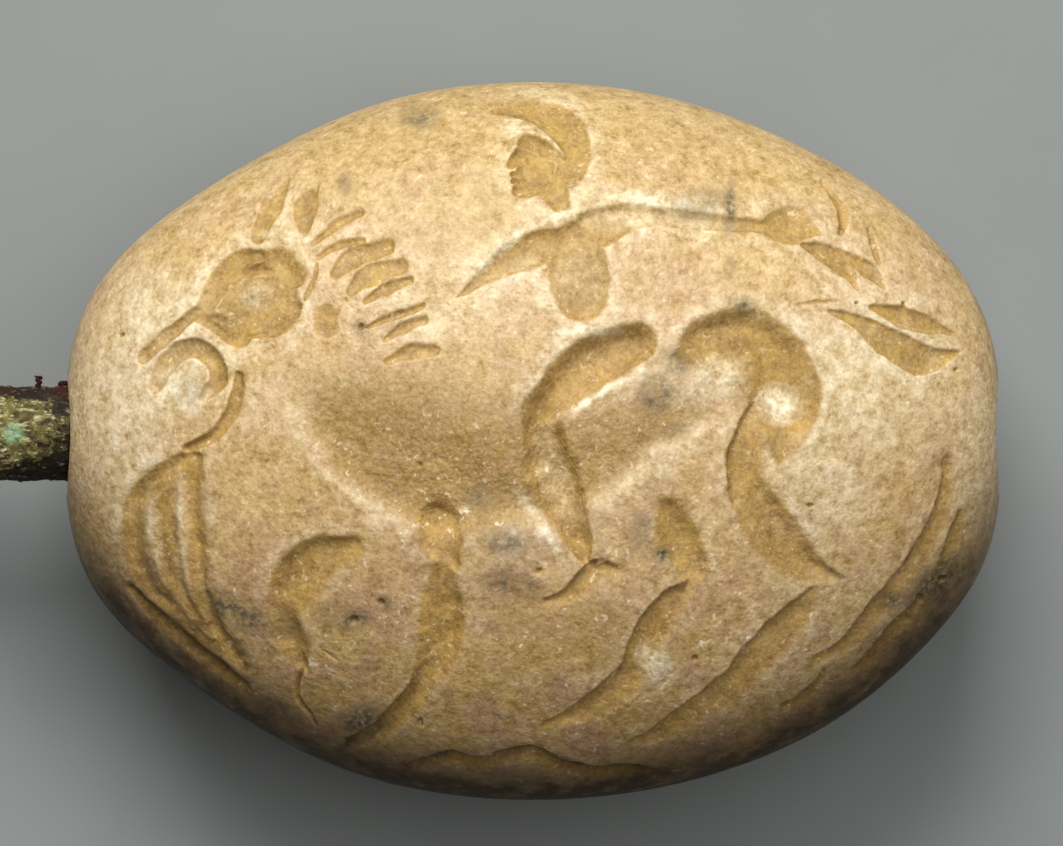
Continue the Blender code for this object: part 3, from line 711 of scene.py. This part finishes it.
def mixColour(share, first, second, blend="MIX"):
    tree = (share if isSocket(share) else first).id_data
    colours = [c if isSocket(c) else (*c, 1) for c in (first, second)]
    return addNode(tree, "ShaderNodeMix", {0: share, 6: colours[0], 7: colours[1]},
                   data_type="RGBA", blend_type=blend).outputs[2]


def coated(colour, look, coats):
    # colours laid over one another, each with its share and its name in look or its socket
    for share, tint in coats:
        colour = mixColour(share, colour, tint if isSocket(tint) else look[tint])
    return colour


def attribute(tree, name):
    return addNode(tree, "ShaderNodeAttribute", attribute_name=name).outputs["Fac"]


def newMaterial(name):
    material = bpy.data.materials.new(name)
    material.use_nodes = True
    tree = material.node_tree
    place = addNode(tree, "ShaderNodeTexCoord").outputs["Object"]
    return material, tree, tree.nodes["Principled BSDF"], place


def dress(shader, colour, rough, relief, strength, height):
    tree = shader.id_data
    bump = addNode(tree, "ShaderNodeBump", {"Height": relief, "Strength": strength, "Distance": height})
    for name, socket in (("Base Color", colour), ("Roughness", rough), ("Normal", bump.outputs[0])):
        tree.links.new(socket, shader.inputs[name])


def keyOf(label):
    # an input called "Pit Size" has its value in the piece's dictionary as "pitSize"
    return label[0].lower() + label[1:].replace(" ", "")


def newTree(name, piece, labels):
    tree = bpy.data.node_groups.new(name, "GeometryNodeTree")
    newSocket = tree.interface.new_socket
    newSocket("Geometry", in_out="INPUT", socket_type="NodeSocketGeometry")
    for label in labels:
        value = piece[keyOf(label)]
        kind = "Int" if isinstance(value, int) else "Float"
        newSocket(label, in_out="INPUT", socket_type="NodeSocket" + kind).default_value = value
    newSocket("Material", in_out="INPUT", socket_type="NodeSocketMaterial")
    newSocket("Geometry", in_out="OUTPUT", socket_type="NodeSocketGeometry")
    place = addNode(tree, "GeometryNodeInputPosition").outputs[0]
    normal = addNode(tree, "GeometryNodeInputNormal").outputs[0]
    return tree, addNode(tree, "NodeGroupInput").outputs, place, normal


def bumps(given, place, labels, detail, gain):
    # noise on either side of 0, by each height and size that the tree is given, added up
    total = None
    for label in labels:
        scale = calc("DIVIDE", 1.0, given[label + " Size"])
        texture = noiseNode(place, scale, W=given["Seed"], Detail=detail).outputs[0]
        level = times(calc("SUBTRACT", texture, 0.5), gain, given[label + " Height"])
        total = level if total is None else plus(total, level)
    return total


def pushOut(geometry, direction, amount):
    tree = geometry.id_data
    shift = addNode(tree, "ShaderNodeVectorMath", {0: direction, "Scale": amount}, operation="SCALE")
    return addNode(tree, "GeometryNodeSetPosition",
                   {"Geometry": geometry, "Offset": shift.outputs[0]}).outputs[0]


def finishTree(tree, geometry, material):
    solid = addNode(tree, "GeometryNodeRealizeInstances", {0: geometry}).outputs[0]
    dressed = addNode(tree, "GeometryNodeSetMaterial", {"Geometry": solid, "Material": material})
    addNode(tree, "NodeGroupOutput", {0: dressed.outputs[0]})


def runTree(obj, tree, piece, material):
    modifier = obj.modifiers.new(tree.name, "NODES")
    modifier.node_group = tree
    values = {**piece, "material": material}
    for item in tree.interface.items_tree:
        if item.in_out == "INPUT" and keyOf(item.name) in values:
            modifier[item.identifier] = values[keyOf(item.name)]
    applyModifiers(obj)


def wearTree():
    tree, given, place, normal = newTree("stone wear", stone, (
        "Chatter Height", "Chatter Size", "Grain Height", "Grain Size", "Seed"))
    height = addNode(tree, "ShaderNodeSeparateXYZ", {0: place}).outputs["Z"]
    cut = addNode(tree, "GeometryNodeInputNamedAttribute", {"Name": "cutDepth"},
                  data_type="FLOAT").outputs[0]
    total = times(bumps(given, place, ("Chatter", "Grain"), 1.0, 2.0),
                  spread(cut, 0.03, 0.25, 0.25, 1.0), spread(height, 0.0003, 0.0012))
    finishTree(tree, pushOut(given["Geometry"], normal, total), given["Material"])
    return tree


stoneLook = {
    "honey": (0.64, 0.44, 0.188), "rose": (0.60, 0.395, 0.195), "gold": (0.44, 0.262, 0.060),
    "straw": (0.52, 0.355, 0.125), "amber": (0.33, 0.20, 0.058), "ochre": (0.315, 0.190, 0.046),
    "mauve": (0.42, 0.245, 0.132), "umber": (0.10, 0.062, 0.022), "cream": (0.82, 0.69, 0.45),
    "slate": (0.100, 0.080, 0.050), "brown": (0.385, 0.238, 0.085), "soot": (0.032, 0.018, 0.007),
    "noises": (    # size, detail, roughness, shift and distortion
        (0.0024, 3.0, 0.6), (0.0008, 3.0, 0.65, 4.0), (0.00034, 2.0, 0.6, 6.0),
        (0.00014, 2.0, 0.6, 8.0), (0.00007, 1.0, 0.5, 9.0), (0.0012, 3.0, 0.6, 17.0),
        (0.000272, 2.0, 0.5, 12.0, 1.4), (0.000182, 1.0, 0.5, 13.0, 2.2)),
    "bumpHeight": 0.00006, "bumpStrength": 0.8, "patinaHigh": 0.0030, "patinaLow": -0.0070,
}


def stoneMaterial():
    look = stoneLook
    material, tree, shader, place = newMaterial("honey stone")
    part = addNode(tree, "ShaderNodeSeparateXYZ", {0: place}).outputs
    y, z = part["Y"], part["Z"]
    cutDepth, broadCut, nook, basin, stain, pale, tan, glow = [
        attribute(tree, name) for name in marks]
    mottle, vein, blotch, grain, fine, tints, flecks, sparks = [
        noise(place, *settings) for settings in look["noises"]]

    hue = plus(mottle, times(vein, 0.8))
    colour = mixColour(spread(hue, 0.78, 1.02), look["honey"], look["rose"])
    tone = spread(vein, 0.3, 0.7, 0.80, 1.20)
    for texture, reach in ((blotch, 0.25), (grain, 0.21), (fine, 0.13)):
        tone = plus(tone, spread(texture, 0.3, 0.7, -reach, reach))
    redTone = plus(times(tone, 0.80), 0.20)
    blueTone = calc("SUBTRACT", times(tone, 1.40), 0.40)
    grey = addNode(tree, "ShaderNodeCombineColor", {0: redTone, 1: tone, 2: blueTone}).outputs[0]
    # a mask that grows towards the lower side, away from the light: the brown it lays on is painted shade,
    # and the lower side's mauve and gold tints and extra crystals follow it
    lowerSideShade = spread(y, look["patinaHigh"], look["patinaLow"])
    lowerSideShade = calc("ADD", lowerSideShade, spread(vein, 0.3, 0.7, -0.16, 0.16), True)
    # a faint brown towards the girth, painted shade on the steep sides
    girth = times(spread(z, 0.0088, 0.0060, 0, 0.04, True), spread(vein, 0.3, 0.7, 0.7, 1.0))

    # the cuts hold a golden patina, deeper in tone in patches
    inTrunk = calc("MAXIMUM", times(spread(broadCut, 0.02, 0.17), 0.85), tan)
    inTrunk = times(inTrunk, spread(blotch, 0.40, 0.56, 0.22, 1.0))
    inCut = plus(calc("SUBTRACT", cutDepth, broadCut), spread(grain, 0.3, 0.7, -0.02, 0.02))
    inCut = times(spread(inCut, 0.006, 0.050), spread(blotch, 0.32, 0.58, 0.58, 1.0),
                  spread(tints, 0.60, 0.46, 0.75, 1.0))
    filling = mixColour(spread(vein, 0.62, 0.38, 0.0, 0.6), look["gold"], look["amber"])

    # dirt and painted shade in the nooks and basins, and pale worn lips that are partly a painted highlight
    nookDirtAndShade = times(spread(nook, 0.03, 0.17), spread(cutDepth, 0.06, 0.24, 0.2, 1.0),
                 spread(blotch, 0.3, 0.6, 0.3, 1.0))
    nookDirtAndShade = calc("MAXIMUM", nookDirtAndShade, spread(basin, 0.05, 0.45, 0, 0.35))
    lip = times(spread(nook, -0.03, -0.14), spread(mottle, 0.40, 0.60, 0.10, 0.50))
    border = times(spread(basin, -0.012, -0.070, 0, 0.42), spread(blotch, 0.3, 0.6, 0.3, 1.0),
                   spread(cutDepth, 0.07, 0.015))
    # the pale lips, partly wear and partly a painted highlight, fade on the lower side where the painted
    # shade lies
    lip = times(calc("MAXIMUM", lip, border), spread(lowerSideShade, 0.0, 0.8, 1.0, 0.30))
    # pale patches, some of them painted highlights on raised places and edges
    pale = times(pale, spread(blotch, 0.3, 0.6, 0.38, 1.0))

    # pale crystals and dark flaws
    crystals = times(spread(flecks, 0.62, 0.70, 0, 0.42), spread(broadCut, 0.04, 0.20, 1.0, 1.3),
                     spread(lowerSideShade, 0.3, 1.0, 1.0, 1.5))
    glints = times(spread(sparks, 0.67, 0.73, 0, 0.45), spread(mottle, 0.40, 0.60, 0.3, 1.0))
    flaws = spread(flecks, 0.34, 0.28, 0, 0.26)
    stain = times(stain, spread(grain, 0.38, 0.54, 0.35, 1.0), spread(vein, 0.40, 0.52, 0.40, 0.95))

    # darker towards the foot of the stone, thickest on the side away from the light: mostly painted shade,
    # with some grime
    footGrimeAndShade = times(spread(z, 0.0094, 0.0064, smooth=True), spread(y, 0.0006, -0.0058, smooth=True),
                  spread(z, 0.0012, 0.0045, 0.55, 1.0), spread(vein, 0.3, 0.6, 0.65, 1.0))

    # over the stone's own colours lie painted shade on the lower side, at the girth and in the nooks, and
    # painted highlights in the sheen, the lips and some pale patches
    colour = coated(colour, look, (
        (spread(y, 0.0040, 0.0082, 0.0, 0.5), "straw"), (times(lowerSideShade, 0.60), "brown"),
        (times(spread(tints, 0.49, 0.61, 0, 0.84), lowerSideShade), "mauve"),
        (times(spread(tints, 0.48, 0.36, 0, 0.55), lowerSideShade), "gold"), (girth, "brown"),
        (times(glow, spread(blotch, 0.3, 0.6, 0.7, 1.0)), "cream"), (inTrunk, "ochre"),
        (inCut, filling), (times(nookDirtAndShade, 0.46), "umber"), (calc("MAXIMUM", lip, pale), "cream"),
        (calc("MAXIMUM", crystals, glints), "cream"), (flaws, "umber")))
    colour = mixColour(1.0, colour, grey, "MULTIPLY")
    colour = coated(colour, look, ((stain, "slate"), (spread(footGrimeAndShade, 0, 0.9, 0, 0.97), "soot")))
    rough = plus(spread(cutDepth, 0.02, 0.3, 0.46, 0.68), spread(grain, 0.3, 0.7, -0.08, 0.10))
    relief = times(blotch, spread(broadCut, 0.03, 0.3, 0.7, 2.2))
    for texture, share in ((vein, 1.5), (grain, 0.42), (fine, 0.14)):
        relief = plus(relief, times(texture, share))
    dress(shader, colour, rough, relief, look["bumpStrength"], look["bumpHeight"])
    tree.links.new(spread(footGrimeAndShade, 0, 0.8, 0.35, 0.08), shader.inputs["Specular IOR Level"])
    return material


def makeStone():
    mesh = stoneBlank()
    carveStone(mesh)
    obj = addObject("seal_stone_carved", mesh)
    print("stone laid out and cut:", len(obj.data.vertices), "vertices")
    drillBore(obj)
    runTree(obj, wearTree(), stone, stoneMaterial())
    obj.data.shade_smooth()
    obj.data.set_sharp_from_angle(angle=math.radians(stone["creaseAngle"]))
    print("bore drilled and face worn:", len(obj.data.vertices), "vertices")
    return obj


stoneObj = makeStone()
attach(stoneObj, "root")
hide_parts("seal_stone")

# The pin, in metres; its axis is the bore's. The stub that shows is crusted over
pin = {
    "diameter": 0.0026, "left": -0.0175, "right": 0.0120, "sides": 112,
    "stubEnd": -0.0122, "ringStep": 0.00006, "hiddenStep": 0.0006,
    "edgeRound": 0.00025,    # a broken end's rings: shares of this inwards, and of the radius
    "brokenEnd": ((0.0, 0.25), (0.0, 0.55), (0.0, 0.78), (0.06, 0.88), (0.3, 0.96), (1.0, 1.0)),
    "crustHeight": 0.000085, "crustSize": 0.00055, "pitHeight": 0.00004, "pitSize": 0.00018,
    "flakeDensity": 9.0e6, "flakeSize": 0.00009, "flakeShape": (1, 0.6, 0.3),
    "smallestFlake": 0.35, "largestFlake": 1.25, "raggedScale": 9000.0, "seed": 5,
    "nubs": ((-0.01372, 0.00152, 0.00515, 0.000085), (-0.01368, 0.00162, 0.00517, 0.000075),
             (-0.01374, 0.00170, 0.00514, 0.000085), (-0.01366, 0.00177, 0.00518, 0.00006),
             (-0.01300, 0.00150, 0.00520, 0.00012), (-0.01308, 0.00157, 0.00508, 0.00009),
             (-0.01296, 0.00160, 0.00526, 0.00008)),
}


def pinProfile():
    # stations along the pin and its radius there, rounded off at both broken ends
    radius, bend = pin["diameter"] / 2, pin["edgeRound"]
    left, right, inwards = pin["left"], pin["right"], pin["brokenEnd"]
    stations = [(left + share * bend, scale * radius) for share, scale in inwards]
    x = left + bend
    while x < pin["stubEnd"]:
        x += pin["ringStep"]
        stations.append((x, radius))
    while x < right - bend - pin["hiddenStep"]:
        x += pin["hiddenStep"]
        stations.append((x, radius))
    return stations + [(right - share * bend, scale * radius) for share, scale in reversed(inwards)]


def pinMesh():
    bm = bmesh.new()
    red = bm.verts.layers.float.new("redNub")
    sides = pin["sides"]
    rings = ringsAlong(bm, pinProfile(), sides)
    for first, second in zip(rings, rings[1:]):
        for k in range(sides):
            bm.faces.new((first[k], second[k], second[(k + 1) % sides], first[(k + 1) % sides]))
    for ring, x in ((rings[0], pin["left"]), (rings[-1], pin["right"])):
        hub = bm.verts.new((x, stone["boreOffset"], stone["restDepth"]))
        for k in range(sides):
            bm.faces.new((ring[k], ring[(k + 1) % sides], hub))
    for x, y, z, radius in pin["nubs"]:
        for vert in bmesh.ops.create_icosphere(bm, subdivisions=2, radius=radius)["verts"]:
            vert.co += Vector((x, y, z))
            vert[red] = 1.0
    bmesh.ops.recalc_face_normals(bm, faces=bm.faces)
    return meshFrom(bm, "bronze_pin_body")


def crustTree():
    tree, given, place, normal = newTree("pin crust", pin, (
        "Crust Height", "Crust Size", "Pit Height", "Pit Size", "Stub End", "Flake Density",
        "Flake Size", "Seed"))
    body = pushOut(given["Geometry"], normal, bumps(given, place, ("Crust", "Pit"), 2.0, 2.5))
    x = addNode(tree, "ShaderNodeSeparateXYZ", {0: place}).outputs["X"]
    onStub = addNode(tree, "FunctionNodeCompare", {0: x, 1: given["Stub End"]},
                     data_type="FLOAT", operation="LESS_THAN").outputs[0]
    dots = addNode(tree, "GeometryNodeDistributePointsOnFaces",
                   {"Mesh": body, "Selection": onStub, "Density": given["Flake Density"],
                    "Seed": given["Seed"]})
    grain = addNode(tree, "GeometryNodeMeshIcoSphere",
                    {"Radius": given["Flake Size"], "Subdivisions": 2}).outputs[0]
    flat = addNode(tree, "GeometryNodeTransform", {"Geometry": grain, "Scale": pin["flakeShape"]})
    size = addNode(tree, "FunctionNodeRandomValue",
                   {2: pin["smallestFlake"], 3: pin["largestFlake"], "Seed": given["Seed"]},
                   data_type="FLOAT").outputs[1]
    flakes = addNode(tree, "GeometryNodeInstanceOnPoints",
                     {"Points": dots.outputs["Points"], "Instance": flat.outputs[0],
                      "Rotation": dots.outputs["Rotation"], "Scale": size}).outputs[0]
    solid = addNode(tree, "GeometryNodeRealizeInstances", {0: flakes}).outputs[0]
    marked = addNode(tree, "GeometryNodeStoreNamedAttribute",
                     {"Geometry": solid, "Name": "flake", "Value": 1.0},
                     data_type="FLOAT", domain="POINT").outputs[0]
    rough = noiseNode(place, pin["raggedScale"], W=given["Seed"]).outputs["Color"]
    centred = addNode(tree, "ShaderNodeVectorMath", {0: rough, 1: (0.5, 0.5, 0.5)},
                      operation="SUBTRACT").outputs[0]
    joined = tree.nodes.new("GeometryNodeJoinGeometry")
    tree.links.new(pushOut(marked, centred, given["Flake Size"]), joined.inputs[0])
    tree.links.new(body, joined.inputs[0])
    finishTree(tree, joined.outputs[0], given["Material"])
    return tree


pinLook = {
    "bark": (0.018, 0.012, 0.007), "olive": (0.17, 0.145, 0.040), "moss": (0.050, 0.040, 0.014),
    "cream": (0.62, 0.56, 0.30), "verdigris": (0.30, 0.53, 0.31), "rust": (0.050, 0.012, 0.006),
    "wax": (0.036, 0.006, 0.011), "greenPlace": (-0.01436, 0.00020, 0.00640),
    "greenReach": 0.00038, "gloss": 0.15, "bumpHeight": 0.00008, "bumpStrength": 0.9,
    "webTurn": (0.3, 0.2, -0.6), "webStretch": (1.0, 2.8, 1.6),
    "noises": ((0.0009, 3.0, 0.6, 2.0), (0.00022, 3.0, 0.7, 5.0), (0.00008, 2.0, 0.6, 7.0)),
    "webNoise": (0.00046, 3.0, 0.65, 11.0),
}


def pinMaterial():
    look = pinLook
    material, tree, shader, place = newMaterial("corroded bronze")
    part = addNode(tree, "ShaderNodeSeparateXYZ", {0: place}).outputs
    clouds, crumbs, dust = [noise(place, *settings) for settings in look["noises"]]
    turned = addNode(tree, "ShaderNodeMapping", {"Vector": place, "Rotation": look["webTurn"],
                                                 "Scale": look["webStretch"]}).outputs[0]
    web = noise(turned, *look["webNoise"])

    outwards = spread(part["X"], -0.0131, -0.0146)
    height = spread(part["Y"], -0.0012, 0.0013, -1.0, 1.0)
    band = times(spread(height, -1.0, -0.2, -0.25, 0.30, True),
                 spread(height, 1.0, 0.80, smooth=True))
    crust = plus(band, spread(outwards, 0, 1, -0.22, 0.34), calc("SUBTRACT", clouds, 0.5),
                 spread(crumbs, 0.3, 0.7, -0.2, 0.2))
    ragged = plus(spread(clouds, 0.3, 0.7, -0.16, 0.16), spread(crumbs, 0.3, 0.7, -0.10, 0.10))
    topEdge = times(spread(plus(height, ragged), 0.90, 1.02),
                    spread(part["Z"], 0.0036, 0.0052, 0.25, 1.0))
    crust = spread(calc("SUBTRACT", crust, topEdge), 0.10, 0.30)
    green = mixColour(spread(crumbs, 0.40, 0.60), look["moss"], look["olive"])
    ridge = times(calc("MAXIMUM", spread(web, 0.54, 0.62), spread(crumbs, 0.60, 0.72)),
                  spread(crust, 0.1, 0.9, 0.05, 0.75), spread(dust, 0.30, 0.65, 0.3, 1.0))
    chips = times(attribute(tree, "flake"), spread(crust, 0, 1, 0.12, 0.55), spread(dust, 0.35, 0.6))
    away = addNode(tree, "ShaderNodeVectorMath", {0: place, 1: look["greenPlace"]},
                   operation="DISTANCE").outputs["Value"]
    greenSpot = times(spread(away, look["greenReach"], look["greenReach"] * 0.3),
                      spread(crumbs, 0.35, 0.60, 0.1, 0.8))
    colour = coated(mixColour(crust, look["bark"], green), look, (
        (times(topEdge, spread(clouds, 0.3, 0.6, 0.4, 1.0)), "rust"), (ridge, "cream"),
        (chips, "cream"), (greenSpot, "verdigris"), (attribute(tree, "redNub"), "wax")))
    dress(shader, colour, spread(crumbs, 0.3, 0.7, 0.45, 0.8), plus(crumbs, times(dust, 0.5)),
          look["bumpStrength"], look["bumpHeight"])
    shader.inputs["Specular IOR Level"].default_value = look["gloss"]
    return material


def makePin():
    obj = addObject("bronze_pin_crusted", pinMesh())
    runTree(obj, crustTree(), pin, pinMaterial())
    obj.data.shade_smooth()
    print("pin crusted:", len(obj.data.vertices), "vertices")
    return obj


pinObj = makePin()
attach(pinObj, "root")
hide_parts("bronze_pin")

studio = {
    "pixelsWide": 1063, "pixelsHigh": 846, "pixelsPerUnit": 9.38,
    "stoneAtPixel": (533, 441), "cameraHeight": 0.420, "lensDistanceTo": 0.0052,
    "sensorWidth": 36, "clipStart": 0.005,
    "floorColour": (0.27, 0.288, 0.279), "floorSize": 3.0, "cloudSize": 0.004, "cloudShade": 0.96,
    "lights": (("keyLight", (-0.045, 0.26, 0.25), 1.50, 0.22),     # place, watts and size
               ("fillLight", (0.10, 0.04, 0.32), 0.50, 0.32)),
    "skyColour": (1.0, 0.98, 0.94), "skyStrength": 0.09,
}


def makeCamera():
    data = bpy.data.cameras.new("camera")
    obj = addObject("camera", data)
    unit = along / studio["pixelsPerUnit"]
    px, py = studio["stoneAtPixel"]
    x = (studio["pixelsWide"] / 2 - px) * unit
    y = (py - studio["pixelsHigh"] / 2) * unit
    obj.location = (x, y, studio["cameraHeight"])
    away = studio["cameraHeight"] - studio["lensDistanceTo"]
    data.sensor_width = studio["sensorWidth"]
    data.lens = studio["sensorWidth"] * away / (studio["pixelsWide"] * unit)
    data.clip_start = studio["clipStart"]
    scene.camera = obj


def areaLight(name, place, watts, size):
    data = bpy.data.lights.new(name, "AREA")
    data.energy = watts
    data.size = size
    obj = addObject(name, data)
    obj.location = place
    aim = Vector((0, 0, stone["restDepth"]))
    obj.rotation_euler = (aim - Vector(place)).to_track_quat("-Z", "Y").to_euler()


def floorMaterial():
    material, tree, shader, place = newMaterial("pale floor")
    cloud = noise(place, studio["cloudSize"])
    colour = mixColour(spread(cloud, 0.3, 0.7), studio["floorColour"],
                       [c * studio["cloudShade"] for c in studio["floorColour"]])
    tree.links.new(colour, shader.inputs["Base Color"])
    shader.inputs["Roughness"].default_value = 0.9
    return material


def makeStudio():
    bm = bmesh.new()
    half = studio["floorSize"] / 2
    bm.faces.new([bm.verts.new((x * half, y * half, 0))
                  for x, y in ((-1, -1), (1, -1), (1, 1), (-1, 1))])
    floor = addObject("floor", meshFrom(bm, "floor"))
    floor.data.materials.append(floorMaterial())
    for light in studio["lights"]:
        areaLight(*light)
    world = bpy.data.worlds.new("studio")
    world.use_nodes = True
    sky = world.node_tree.nodes["Background"]
    sky.inputs["Color"].default_value = (*studio["skyColour"], 1)
    sky.inputs["Strength"].default_value = studio["skyStrength"]
    scene.world = world


makeStudio()
makeCamera()
scene.view_settings.view_transform = "Standard"
print("studio set")
